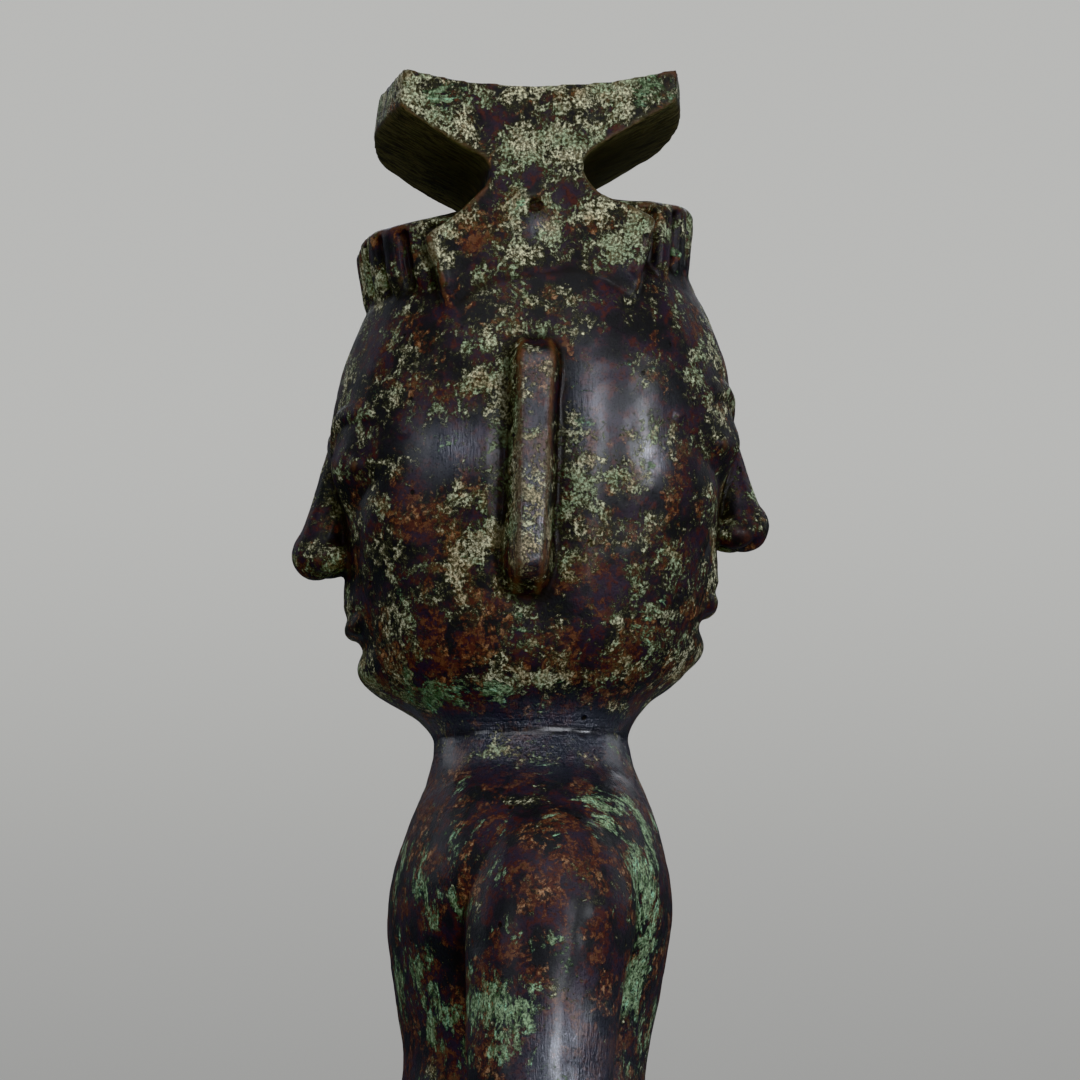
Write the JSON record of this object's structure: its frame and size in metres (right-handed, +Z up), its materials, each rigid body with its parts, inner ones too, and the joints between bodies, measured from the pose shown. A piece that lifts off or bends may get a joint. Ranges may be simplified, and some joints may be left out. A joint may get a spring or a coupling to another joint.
{
  "type": "bronze kneeling figure",
  "caption": "Patinated bronze figure with a face on each side of its head and a flared headdress, kneeling on its heels on a low plinth.",
  "frame": {"origin": "middle of the plinth's underside", "axes": "+Z up, -Y the way the figure's knees and first face point, +X towards its left arm"},
  "size_m": [0.089, 0.127, 0.2677],
  "materials": {
    "bronze": "aged bronze: waxed dark brown ground with rust red, cream and malachite green patina",
    "plinth_bronze": "aged bronze: dark brown with thin green patina"
  },
  "bodies": {
    "root": {"kneeling_figure": "bronze", "plinth": "plinth_bronze"}
  },
  "joints": []
}
